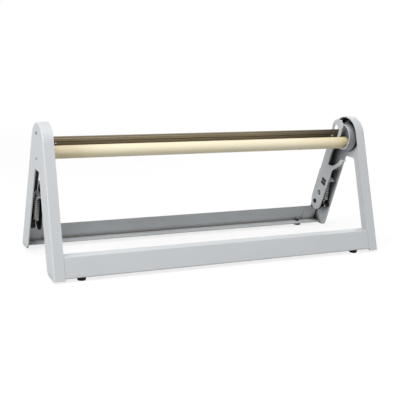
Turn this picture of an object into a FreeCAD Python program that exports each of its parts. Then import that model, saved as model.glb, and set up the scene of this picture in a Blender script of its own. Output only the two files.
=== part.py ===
import FreeCAD, Part
import os
import re
import Sketcher

# Counter-top cutter for rolls of gift wrap.  Two folded A-shaped end frames
# are joined by a front bar and a rear bar.  A wooden roller lies in an open
# cup at the head of each end frame.  Two arms, pivoted at the foot of the rear
# legs and pulled forward by springs, carry a cutter bar that presses on the
# roller.  X runs along the roller, -Y is the front, Z = 0 is the table top.

# Driving dimensions, in millimetres and degrees.
SIZES = {
    # end frames
    "overall_width": 700.0,
    "frame_sheet": 2.0,
    "flange_depth": 21.0,
    "leg_angle": 19.6,
    "leg_width": 45.5,
    "head_radius": 45.0,
    "head_height": 222.0,
    "ground_clearance": 4.0,
    "gap_below_head": 45.0,
    "gap_corner": 4.0,
    "toe_corner": 16.0,
    "fold_radius": 3.0,
    "notch_low_angle": 6.0,
    "notch_high_angle": 50.0,
    "notch_depth": 12.0,
    # base bars
    "bar_rise": 3.0,
    "bar_height": 37.0,
    "front_ledge": 21.0,
    "foot_ledge": 30.0,
    "bar_fold_radius": 1.8,
    "seam_gap": 0.3,
    "splice_overlap": 16.0,
    # feet
    "foot_from_end": 54.0,
    "foot_line": 12.0,
    "foot_diameter": 17.5,
    "foot_taper": 1.0,
    "foot_screw_diameter": 5.0,
    "foot_head_diameter": 9.0,
    "foot_head_height": 2.4,
    "foot_recess": 3.2,
    "foot_nut_size": 8.0,
    "foot_nut_height": 4.0,
    "foot_screw_end": 2.0,
    # roller cups
    "cup_reach": 24.0,
    "cup_depth": 13.0,
    "cup_set_back": 5.0,
    "cup_mouth_radius": 26.0,
    "cup_back_radius": 30.0,
    "cup_wall": 1.8,
    "cup_lip_front": 6.0,
    "cup_lip_rear": 150.0,
    "cup_boss_diameter": 12.0,
    "cup_screw_offset": 24.0,
    "cup_screw_depth": 6.0,
    "upper_screw_diameter": 4.2,
    "upper_head_diameter": 7.6,
    "lower_screw_diameter": 3.0,
    "lower_head_diameter": 6.0,
    # roller
    "roller_diameter": 25.0,
    "roller_lift": 0.3,
    "roller_end_play": 0.5,
    "ferrule_length": 3.0,
    "ferrule_wall": 1.0,
    "ferrule_end": 2.0,
    # arms, measured from the pivot along and across the rear leg
    "pivot_height": 58.5,
    "pivot_inset": 19.0,
    "arm_sheet": 2.0,
    "arm_to_flange": 4.0,
    "arm_rear": 15.5,
    "arm_front": 23.0,
    "arm_front_top": 26.0,
    "arm_end_along": 2.0,
    "shoulder_along": 76.0,
    "hook_root_along": 97.0,
    "hook_base_along": 101.0,
    "hook_width": 9.6,
    "hook_bend_fore": 34.6,
    "hook_bend_along": 118.5,
    "hook_tip_fore": 53.5,
    "hook_tip_along": 138.0,
    "hook_tip_height": 6.0,
    "hook_corner": 2.0,
    "hook_lip": 7.0,
    "saddle_lip": 13.0,
    "saddle_lip_rear": 14.5,
    "window_size": 15.5,
    "window_along": 58.4,
    "window_fore": 9.5,
    "button_diameter": 11.5,
    "button_along": 26.2,
    "button_fore": 5.1,
    "rivet_diameter": 3.0,
    "rivet_head_diameter": 6.4,
    "rivet_head_height": 0.8,
    "plug_fit": 0.1,
    # ears of the arms, measured from the roller's axis along and across the leg
    "neck_behind_roller": 20.2,
    "flare_share": 0.42,
    "flare_behind_roller": 8.4,
    "ear_above_roller": 20.9,
    "ear_behind_roller": 22.4,
    "ear_radius": 22.3,
    "ear_front_behind_roller": 7.8,
    "ear_hole_diameter": 14.8,
    "ear_hole_above_roller": 20.4,
    "ear_hole_behind_roller": 30.4,
    "roller_relief": 1.0,
    # backing plates behind the arms
    "backing_thickness": 3.0,
    "backing_margin": 2.5,
    "backing_overhang": 3.5,
    "backing_top": 65.4,
    "backing_step": 76.0,
    "backing_strip_front": 1.5,
    "backing_below_roller": 18.6,
    "backing_foot": 1.0,
    # pivots
    "pivot_diameter": 8.0,
    "pivot_fit": 0.05,
    "pivot_end_play": 0.3,
    "post_diameter": 20.0,
    "pivot_screw_diameter": 5.0,
    "pivot_screw_depth": 12.0,
    "pivot_head_diameter": 11.0,
    "pivot_head_height": 2.2,
    # springs
    "spring_plane": 7.0,
    "spring_lean": 7.8,
    "coil_low": 14.0,
    "coil_length": 44.0,
    "coil_radius": 4.7,
    "coil_pitch": 4.0,
    "wire_diameter": 1.4,
    "loop_radius": 3.2,
    "tab_loop_radius": 5.0,
    "tab_loop_drop": 1.3,
    "anchor_along": -1.0,
    "anchor_fore": 21.0,
    "anchor_diameter": 7.0,
    "anchor_neck": 4.4,
    "anchor_neck_width": 3.2,
    "anchor_head": 1.4,
    "tab_along": 68.4,
    "tab_thickness": 2.0,
    "tab_rear": 5.0,
    "tab_end": 3.2,
    "tab_hole_diameter": 3.6,
    # cutter bar and blade, measured from the roller's axis along and across the leg
    "bar_sheet": 1.5,
    "face_behind_roller": 19.4,
    "bar_below_roller": 4.6,
    "lip_above_roller": 2.4,
    "lip_to_roller": 0.4,
    "bar_above_roller": 19.4,
    "bar_end_gap": 0.1,
    "blade_thickness": 0.8,
    "blade_foot": 0.1,
    "blade_above_roller": 22.9,
    "blade_bevel": 1.6,
    "strip_thickness": 1.6,
    "strip_above_roller": 19.7,
    "strip_bevel": 0.8,
    "groove_above_roller": 11.4,
    "groove_width": 2.0,
    "groove_depth": 0.9,
    "end_tab_thickness": 2.0,
    "end_tab_behind_face": 20.0,
    "end_tab_below_roller": 3.0,
    "end_tab_above_roller": 12.4,
    "end_screw_diameter": 4.0,
    "end_head_diameter": 7.0,
    "end_head_height": 2.4,
    "end_nut_size": 7.0,
    "end_nut_height": 3.0,
    "end_screw_low_above_roller": 1.2,
    "end_screw_low_behind_face": 10.6,
    "end_screw_high_above_roller": 8.6,
    "end_screw_high_behind_face": 15.6,
    "blade_screw_from_end": 40.0,
    "blade_screw_above_roller": 6.4,
    "blade_screw_diameter": 4.0,
    "blade_head_diameter": 6.0,
    "blade_head_height": 2.6,
    "blade_nut_height": 2.4,
}

doc = FreeCAD.newDocument("GiftWrapCutter")
sheet = doc.addObject("Spreadsheet::Sheet", "Sizes")
for row, (alias, value) in enumerate(SIZES.items(), start=1):
    sheet.set(f"A{row}", alias)
    sheet.set(f"B{row}", str(value))
    sheet.setAlias(f"B{row}", alias)
doc.recompute()

ALIAS = re.compile(r"\b(" + "|".join(SIZES) + r")\b")
OVERCUT = "1"
HEX_RATIO = "sqrt(3)"
nodes = []

# Places that several pieces share, as expressions in the driving dimensions.
HALF_WIDTH = "(overall_width / 2)"
WEB_IN = f"({HALF_WIDTH} - frame_sheet)"
FLANGE_EDGE = f"({HALF_WIDTH} - flange_depth)"
HEAD_Z = "(ground_clearance + head_height)"
BAR_Z = "(ground_clearance + bar_rise)"
BAR_TOP = f"({BAR_Z} + bar_height)"
CUP_MOUTH = f"({HALF_WIDTH} - cup_reach)"
ROLLER_Y = "cup_set_back"
ROLLER_Z = f"({HEAD_Z} - cup_mouth_radius + roller_diameter / 2 + roller_lift)"
ARM_OUT = f"({FLANGE_EDGE} - arm_to_flange)"
ARM_IN = f"({ARM_OUT} - arm_sheet)"
BACKING_OUT = f"({ARM_OUT} + backing_thickness)"
SPRING_X = f"({FLANGE_EDGE} + spring_plane)"
PIVOT_Z = "(ground_clearance + pivot_height)"
ARM_END_RADIUS = "((arm_rear + arm_front) / 2)"
ARM_END_FORE = "((arm_front - arm_rear) / 2)"
SIDES = {"left": -1, "right": 1}


def leg_y(height, inset="0"):
    """Distance from the middle plane to a leg's outer face, less an inset."""
    return f"((head_radius - ({inset})) / cos(leg_angle) + ({HEAD_Z} - ({height})) * tan(leg_angle))"


PIVOT_Y = leg_y(PIVOT_Z, "pivot_inset")


def arm_y(fore, along):
    """World Y of a point given along the arm and forward of its pivot."""
    return f"({PIVOT_Y} - ({along}) * sin(leg_angle) - ({fore}) * cos(leg_angle))"


def arm_z(fore, along):
    """World Z of a point given along the arm and forward of its pivot."""
    return f"({PIVOT_Z} + ({along}) * cos(leg_angle) - ({fore}) * sin(leg_angle))"


ROLLER_ALONG = (f"(({PIVOT_Y} - {ROLLER_Y}) * sin(leg_angle)"
                f" + ({ROLLER_Z} - {PIVOT_Z}) * cos(leg_angle))")
ROLLER_FORE = (f"(({PIVOT_Y} - {ROLLER_Y}) * cos(leg_angle)"
               f" - ({ROLLER_Z} - {PIVOT_Z}) * sin(leg_angle))")
EAR_ALONG = f"({ROLLER_ALONG} + ear_above_roller)"
BAR_FACE = f"({ROLLER_FORE} - face_behind_roller)"
BLADE_SCREW_ALONG = f"({ROLLER_ALONG} + blade_screw_above_roller)"
END_SCREWS = [
    (word, f"({ROLLER_ALONG} + end_screw_{size}_above_roller)",
     f"({BAR_FACE} - end_screw_{size}_behind_face)")
    for word, size in (("Low", "low"), ("High", "high"))
]
# upper end of the spring's axis, where it meets the plane of the tab's hole
SPRING_TURN = "(leg_angle - spring_lean)"
SPRING_TOP = f"((tab_along - anchor_along) / cos({SPRING_TURN}))"
SPRING_TOP_FORE = f"(anchor_fore - (tab_along - anchor_along) * tan({SPRING_TURN}))"


def bound(text):
    """Expression text with every size name pointing at the sheet."""
    return ALIAS.sub(r"Sizes.\1", str(text))


def number(text):
    """Present value of an expression."""
    return float(sheet.evalExpression(bound(text)))


def span(side, near, far):
    """Lower X and length of a piece between two distances from the middle."""
    low = near if side > 0 else f"-({far})"
    return low, f"(({far}) - ({near}))"


def keep(piece, label):
    """Register a finished piece as a node of the assembly."""
    piece.Label = label
    nodes.append(piece)
    return piece


def new_body(name):
    return doc.addObject("PartDesign::Body", name)


def draw(body, name, role, offset, outline):
    """Sketch on an origin plane: a closed polygon, or (y, z, radius) circle."""
    sketch = body.newObject("Sketcher::SketchObject", name)
    plane = [item for item in body.Origin.OriginFeatures if item.Role == role][0]
    sketch.AttachmentSupport = [(plane, "")]
    sketch.MapMode = "FlatFace"
    sketch.setExpression("AttachmentOffset.Base.z", bound(offset))
    if isinstance(outline, tuple):
        centre = FreeCAD.Vector(number(outline[0]), number(outline[1]), 0)
        sketch.addGeometry(Part.Circle(centre, FreeCAD.Vector(0, 0, 1), number(outline[2])))
        fixings = [("DistanceX", 3, outline[0]), ("DistanceY", 3, outline[1])]
        for kind, point, text in fixings:
            index = sketch.addConstraint(Sketcher.Constraint(kind, -1, 1, 0, point, number(text)))
            sketch.setExpression(f"Constraints[{index}]", bound(text))
        index = sketch.addConstraint(Sketcher.Constraint("Radius", 0, number(outline[2])))
        sketch.setExpression(f"Constraints[{index}]", bound(outline[2]))
        return sketch
    corners = [FreeCAD.Vector(number(first), number(second), 0) for first, second in outline]
    count = len(corners)
    for index in range(count):
        sketch.addGeometry(Part.LineSegment(corners[index], corners[(index + 1) % count]))
    for index in range(count):
        sketch.addConstraint(Sketcher.Constraint("Coincident", index, 2, (index + 1) % count, 1))
    for index, (first, second) in enumerate(outline):
        fixings = [("DistanceX", first, corners[index].x), ("DistanceY", second, corners[index].y)]
        for kind, text, value in fixings:
            row = sketch.addConstraint(Sketcher.Constraint(kind, -1, 1, index, 1, value))
            sketch.setExpression(f"Constraints[{row}]", bound(text))
    return sketch


def add(body, name, low, length, outline, role="YZ_Plane"):
    """Pad an outline from a plane offset, along the plane's normal."""
    pad = body.newObject("PartDesign::Pad", name)
    pad.Profile = draw(body, name + "Sketch", role, low, outline)
    pad.setExpression("Length", bound(length))
    doc.recompute()
    return pad


def cut(body, name, low, length, outline, role="YZ_Plane"):
    """Pocket an outline from a plane offset, along the plane's normal."""
    before = body.Shape.Volume
    pocket = body.newObject("PartDesign::Pocket", name)
    pocket.Profile = draw(body, name + "Sketch", role, low, outline)
    pocket.Reversed = True
    pocket.setExpression("Length", bound(length))
    doc.recompute()
    if body.Shape.Volume >= before:
        raise RuntimeError(f"{name} cuts nothing")
    return pocket


def round_corners(body, name, radius, corners):
    """Fillet the edges along X that pass through the given (y, z) corners."""
    base = body.Tip
    places = [(number(first), number(second)) for first, second in corners]
    found = []
    for index, edge in enumerate(base.Shape.Edges, start=1):
        start = edge.Vertexes[0].Point
        finish = edge.Vertexes[-1].Point
        along_x = abs(start.y - finish.y) < 1e-4 and abs(start.z - finish.z) < 1e-4
        near = any(abs(start.y - y) < 1e-3 and abs(start.z - z) < 1e-3 for y, z in places)
        if along_x and near and edge.Length > 1e-3:
            found.append(f"Edge{index}")
    if not found:
        raise RuntimeError(f"{name} finds no edge")
    fillet = body.newObject("PartDesign::Fillet", name)
    fillet.Base = (base, found)
    fillet.setExpression("Radius", bound(radius))
    doc.recompute()
    return fillet


def turned(name, profile):
    """Solid turned about local Z from (radius, height) corners."""
    body = new_body(name)
    sketch = draw(body, name + "Profile", "XZ_Plane", "0", profile)
    turn = body.newObject("PartDesign::Revolution", name + "Turn")
    turn.Profile = sketch
    turn.ReferenceAxis = (sketch, ["V_Axis"])
    turn.Angle = 360
    doc.recompute()
    return body


def place(piece, x, y, z, axis=(0, 0, 1), angle="0"):
    """Put a piece at a point, turned by an angle about an axis."""
    piece.Placement = FreeCAD.Placement(FreeCAD.Vector(), FreeCAD.Rotation(FreeCAD.Vector(*axis), 1))
    piece.setExpression("Placement.Base.x", bound(x))
    piece.setExpression("Placement.Base.y", bound(y))
    piece.setExpression("Placement.Base.z", bound(z))
    piece.setExpression("Placement.Rotation.Angle", bound(angle))
    return piece


def place_across(piece, side, x, y, z):
    """Put a turned piece with its local Z pointing out along X on one side."""
    return place(piece, f"{side} * {x}", y, z, (0, side, 0), "90")


def place_inward(piece, side, x, y, z):
    """Put a turned piece with its local Z pointing in along X on one side."""
    return place(piece, f"{side} * {x}", y, z, (0, -side, 0), "90")


def place_on_arm(piece, x="0"):
    """Put a piece drawn with Z along the arm and -Y forward of the pivot."""
    return place(piece, x, PIVOT_Y, PIVOT_Z, (1, 0, 0), "leg_angle")


def group(name, members):
    """Separate identical solids that share one node."""
    compound = doc.addObject("Part::Compound", name)
    compound.Links = members
    return keep(compound, name)


def hex_nut(name, across_flats, height, bore):
    """Plain hexagon nut along local Z."""
    prism = doc.addObject("Part::Prism", name + "Hexagon")
    prism.Polygon = 6
    prism.setExpression("Circumradius", bound(f"{across_flats} / {HEX_RATIO}"))
    prism.setExpression("Height", bound(height))
    hole = doc.addObject("Part::Cylinder", name + "Bore")
    hole.setExpression("Radius", bound(f"{bore} / 2"))
    hole.setExpression("Height", bound(height))
    nut = doc.addObject("Part::Cut", name)
    nut.Base = prism
    nut.Tool = hole
    return nut


def on_arm(points):
    """Corners given as (fore, along) turned into the arm's sketch axes."""
    return [(f"-({fore})", along) for fore, along in points]


def end_frame(name, side):
    """Folded sheet A-frame: a flat web with an inward flange round its edge."""
    body = new_body(name)
    low, length = span(side, FLANGE_EDGE, HALF_WIDTH)
    foot = leg_y("ground_clearance")
    tangent = ("(head_radius * cos(leg_angle))", f"({HEAD_Z} + head_radius * sin(leg_angle))")
    outline = [
        (f"-{foot}", "ground_clearance"),
        (foot, "ground_clearance"),
        tangent,
        (f"-{tangent[0]}", tangent[1]),
    ]
    add(body, name + "Legs", low, length, outline)
    add(body, name + "Head", low, length, ("0", HEAD_Z, "head_radius"))
    outer_x = side * number(HALF_WIDTH)
    sole = number("ground_clearance") + number("fold_radius")
    fold = []
    base = body.Tip
    for index, edge in enumerate(base.Shape.Edges, start=1):
        box = edge.BoundBox
        on_web = abs(box.XMin - outer_x) < 1e-4 and abs(box.XMax - outer_x) < 1e-4
        if on_web and box.ZMax > sole:
            fold.append(f"Edge{index}")
    bend = body.newObject("PartDesign::Fillet", name + "Fold")
    bend.Base = (base, fold)
    bend.setExpression("Radius", bound("fold_radius"))
    doc.recompute()
    # hollow between the flanges, open at the foot
    low, length = span(side, f"({FLANGE_EDGE} - {OVERCUT})", WEB_IN)
    below = f"(ground_clearance - {OVERCUT})"
    inner = leg_y(below, "frame_sheet")
    radius = "(head_radius - frame_sheet)"
    tangent = (f"({radius} * cos(leg_angle))", f"({HEAD_Z} + {radius} * sin(leg_angle))")
    outline = [(f"-{inner}", below), (inner, below), tangent, (f"-{tangent[0]}", tangent[1])]
    cut(body, name + "Hollow", low, length, outline)
    cut(body, name + "HeadHollow", low, length, ("0", HEAD_Z, radius))
    # gap between the legs
    low, length = span(side, f"({WEB_IN} - {OVERCUT})", f"({HALF_WIDTH} + {OVERCUT})")
    top = f"({HEAD_Z} - gap_below_head)"
    wide = leg_y(below, "leg_width")
    narrow = leg_y(top, "leg_width")
    outline = [(f"-{wide}", below), (wide, below), (narrow, top), (f"-{narrow}", top)]
    cut(body, name + "Gap", low, length, outline)
    round_corners(body, name + "GapTop", "gap_corner", [(f"-{narrow}", top), (narrow, top)])
    toe = leg_y("ground_clearance", "leg_width")
    corners = [(f"-{toe}", "ground_clearance"), (toe, "ground_clearance")]
    round_corners(body, name + "Toes", "toe_corner", corners)
    # notch in the rear flange that lets the roller's end pass
    low, length = span(side, f"({FLANGE_EDGE} - {OVERCUT})", f"({FLANGE_EDGE} + notch_depth)")
    notch = [(f"({reach} * cos(notch_{word}_angle))", f"({HEAD_Z} + {reach} * sin(notch_{word}_angle))")
             for reach, word in (("0.7 * head_radius", "low"), ("1.3 * head_radius", "low"),
                                 ("1.3 * head_radius", "high"), ("0.7 * head_radius", "high"))]
    cut(body, name + "Notch", low, length, notch)
    # countersunk holes for the two screws of the roller cup
    low, length = span(side, f"({WEB_IN} - {OVERCUT})", f"({HALF_WIDTH} + {OVERCUT})")
    for word, sign in (("upper", 1), ("lower", -1)):
        place_z = f"({HEAD_Z} + {sign} * cup_screw_offset)"
        hole = f"({word}_screw_diameter / 2 + plug_fit)"
        cut(body, f"{name}{word}Hole", low, length, ("cup_set_back", place_z, hole))
        rim = []
        base = body.Tip
        for index, edge in enumerate(base.Shape.Edges, start=1):
            box = edge.BoundBox
            at_web = abs(box.XMin - outer_x) < 1e-4 and abs(box.XMax - outer_x) < 1e-4
            centred = abs(box.Center.z - number(place_z)) < 1e-3
            if at_web and centred and box.ZLength < number("head_radius"):
                rim.append(f"Edge{index}")
        sink = body.newObject("PartDesign::Chamfer", f"{name}{word}Sink")
        sink.Base = (base, rim)
        sink.setExpression("Size", bound(f"({word}_head_diameter - {word}_screw_diameter) / 2"))
        doc.recompute()
    return keep(body, name)


def base_bar(name, sign, ledge_on_top):
    """Folded bar whose face lies in the plane of the leg flanges."""
    body = new_body(name)
    reach = f"({FLANGE_EDGE} - seam_gap)"
    over = f"({BAR_TOP} - frame_sheet)"
    under = f"({BAR_Z} + frame_sheet)"
    foot_end = f"({leg_y(BAR_Z)} - foot_ledge)"
    outline = [(leg_y(BAR_Z), BAR_Z), (leg_y(BAR_TOP), BAR_TOP)]
    if ledge_on_top:
        ledge_end = f"({leg_y(BAR_TOP)} - front_ledge)"
        outline += [(ledge_end, BAR_TOP), (ledge_end, over), (leg_y(over, "frame_sheet"), over)]
    else:
        outline += [(leg_y(BAR_TOP, "frame_sheet"), BAR_TOP)]
    outline += [(leg_y(under, "frame_sheet"), under), (foot_end, under), (foot_end, BAR_Z)]
    outline = [(f"{sign} * {y}", z) for y, z in outline]
    add(body, name + "Section", f"-{reach}", f"2 * {reach}", outline)
    folds = outline[:2] if ledge_on_top else outline[:1]
    round_corners(body, name + "Folds", "bar_fold_radius", folds)
    for side in SIDES.values():
        # tongue of the foot ledge that runs on inside the end frame
        tag = "Left" if side < 0 else "Right"
        low, length = span(side, f"({reach} - {OVERCUT})", f"({WEB_IN} - seam_gap)")
        tip = f"({leg_y(under, 'frame_sheet')} - seam_gap)"
        tongue = [(foot_end, BAR_Z), (tip, BAR_Z), (tip, under), (foot_end, under)]
        add(body, f"{name}Tongue{tag}", low, length, [(f"{sign} * {y}", z) for y, z in tongue])
        y = f"{sign} * ({leg_y(BAR_Z)} - foot_line)"
        place_x = f"{side} * ({HALF_WIDTH} - foot_from_end)"
        hole = (place_x, y, "(foot_screw_diameter / 2 + plug_fit)")
        cut(body, f"{name}Hole{tag}", f"({BAR_Z} - {OVERCUT})", f"(frame_sheet + 2 * {OVERCUT})",
            hole, "XY_Plane")
    return keep(body, name)


def splice_plate(name, side, sign):
    """Flat plate welded behind the seam between a bar and a leg flange."""
    body = new_body(name)
    low, length = span(side, f"({FLANGE_EDGE} - splice_overlap)", f"({FLANGE_EDGE} + splice_overlap)")
    bottom = f"({BAR_Z} + frame_sheet)"
    top = f"({BAR_TOP} - frame_sheet)"
    corners = [
        (leg_y(bottom, "frame_sheet"), bottom),
        (leg_y(top, "frame_sheet"), top),
        (leg_y(top, "2 * frame_sheet"), top),
        (leg_y(bottom, "2 * frame_sheet"), bottom),
    ]
    add(body, name + "Plate", low, length, [(f"{sign} * {y}", z) for y, z in corners])
    return keep(body, name)


def rubber_foot(name, side, sign):
    """Tapered rubber foot with a recess for its screw."""
    top = "foot_diameter / 2"
    bore = "(foot_screw_diameter / 2 + plug_fit)"
    recess = "(foot_head_diameter / 2 + 2 * plug_fit)"
    profile = [
        (recess, "0"),
        (f"({top} - foot_taper)", "0"),
        (top, BAR_Z),
        (bore, BAR_Z),
        (bore, "foot_recess"),
        (recess, "foot_recess"),
    ]
    return keep(place_at_foot(turned(name, profile), side, sign, "0"), name)


def place_at_foot(piece, side, sign, height):
    """Put an upright piece on the centre line of one foot."""
    x = f"{side} * ({HALF_WIDTH} - foot_from_end)"
    y = f"{sign} * ({leg_y(BAR_Z)} - foot_line)"
    return place(piece, x, y, height)


def feet():
    """Four feet, each with a screw from below and a nut on the bar's ledge."""
    screws = []
    nuts = []
    for word, side in SIDES.items():
        for place_word, sign in (("front", -1), ("rear", 1)):
            rubber_foot(f"{place_word}_{word}_foot", side, sign)
            head = "(foot_recess - foot_head_height)"
            end = f"({BAR_Z} + frame_sheet + foot_nut_height + foot_screw_end)"
            profile = [
                ("0", head),
                ("foot_head_diameter / 2", head),
                ("foot_head_diameter / 2", "foot_recess"),
                ("foot_screw_diameter / 2", "foot_recess"),
                ("foot_screw_diameter / 2", end),
                ("0", end),
            ]
            screw = turned(f"FootScrew_{place_word}_{word}", profile)
            screws.append(place_at_foot(screw, side, sign, "0"))
            nut = hex_nut(f"FootNut_{place_word}_{word}", "foot_nut_size", "foot_nut_height",
                          "foot_screw_diameter")
            nuts.append(place_at_foot(nut, side, sign, f"({BAR_Z} + frame_sheet)"))
    group("foot_screws", screws)
    group("foot_nuts", nuts)


def roller_cup(name, side):
    """Flared C-shaped cup, open to the top and rear, on two screw bosses."""
    outer = "(cup_depth + cup_wall)"
    profile = [
        ("0", "cup_depth"),
        ("cup_back_radius", "cup_depth"),
        ("cup_mouth_radius", "0"),
        ("(cup_mouth_radius + cup_wall)", "0"),
        ("(cup_back_radius + cup_wall)", "cup_depth"),
        ("(cup_back_radius + cup_wall)", outer),
        ("0", outer),
    ]
    body = turned(name, profile)
    # sector of the skirt that is left open, so that the roller drops in
    far = "(3 * cup_back_radius)"
    angles = [
        "(-cup_lip_front)",
        "((cup_lip_rear - 2 * cup_lip_front) / 3)",
        "((2 * cup_lip_rear - cup_lip_front) / 3)",
        "cup_lip_rear",
    ]
    sector = [("0", "0")] + [(f"{-side} * {far} * cos({a})", f"{far} * sin({a})") for a in angles]
    cut(body, name + "Mouth", f"-{OVERCUT}", f"(cup_depth + {OVERCUT})", sector, "XY_Plane")
    for word, sign in (("upper", 1), ("lower", -1)):
        x = f"{-side * sign} * cup_screw_offset"
        stand = f"(cup_reach - frame_sheet - {outer})"
        boss = (x, "0", "cup_boss_diameter / 2")
        add(body, f"{name}{word}Boss", outer, stand, boss, "XY_Plane")
        hole = (x, "0", f"{word}_screw_diameter / 2")
        start = "(cup_reach - frame_sheet - cup_screw_depth)"
        cut(body, f"{name}{word}Bore", start, f"(cup_screw_depth + {OVERCUT})", hole, "XY_Plane")
    place_across(body, side, CUP_MOUTH, "cup_set_back", HEAD_Z)
    return keep(body, name)


def cup_screws(word, sign):
    """Countersunk screws through the webs into one boss of each cup."""
    screws = []
    for place_word, side in SIDES.items():
        sink = f"(({word}_head_diameter - {word}_screw_diameter) / 2)"
        end = "(frame_sheet + cup_screw_depth)"
        profile = [
            ("0", "0"),
            (f"{word}_head_diameter / 2", "0"),
            (f"{word}_screw_diameter / 2", sink),
            (f"{word}_screw_diameter / 2", end),
            ("0", end),
        ]
        screw = turned(f"CupScrew_{word}_{place_word}", profile)
        place_z = f"({HEAD_Z} + {sign} * cup_screw_offset)"
        screws.append(place_inward(screw, side, HALF_WIDTH, "cup_set_back", place_z))
    return group(f"cup_{word}_screws", screws)


def roller():
    """Wooden roller with a steel ferrule pressed on each stepped end."""
    half = f"({CUP_MOUTH} + cup_depth - roller_end_play)"
    wood = f"({half} - ferrule_end)"
    step = f"({half} - ferrule_length)"
    spigot = "(roller_diameter / 2 - ferrule_wall)"
    profile = [
        ("0", f"-{wood}"),
        (spigot, f"-{wood}"),
        (spigot, f"-{step}"),
        ("roller_diameter / 2", f"-{step}"),
        ("roller_diameter / 2", step),
        (spigot, step),
        (spigot, wood),
        ("0", wood),
    ]
    tube = turned("roller_dowel", profile)
    keep(place(tube, "0", ROLLER_Y, ROLLER_Z, (0, 1, 0), "90"), "roller_dowel")
    for word, side in SIDES.items():
        profile = [
            ("0", "(ferrule_length - ferrule_end)"),
            (spigot, "(ferrule_length - ferrule_end)"),
            (spigot, "0"),
            ("roller_diameter / 2", "0"),
            ("roller_diameter / 2", "ferrule_length"),
            ("0", "ferrule_length"),
        ]
        name = f"{word}_roller_ferrule"
        keep(place_across(turned(name, profile), side, step, ROLLER_Y, ROLLER_Z), name)


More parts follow.
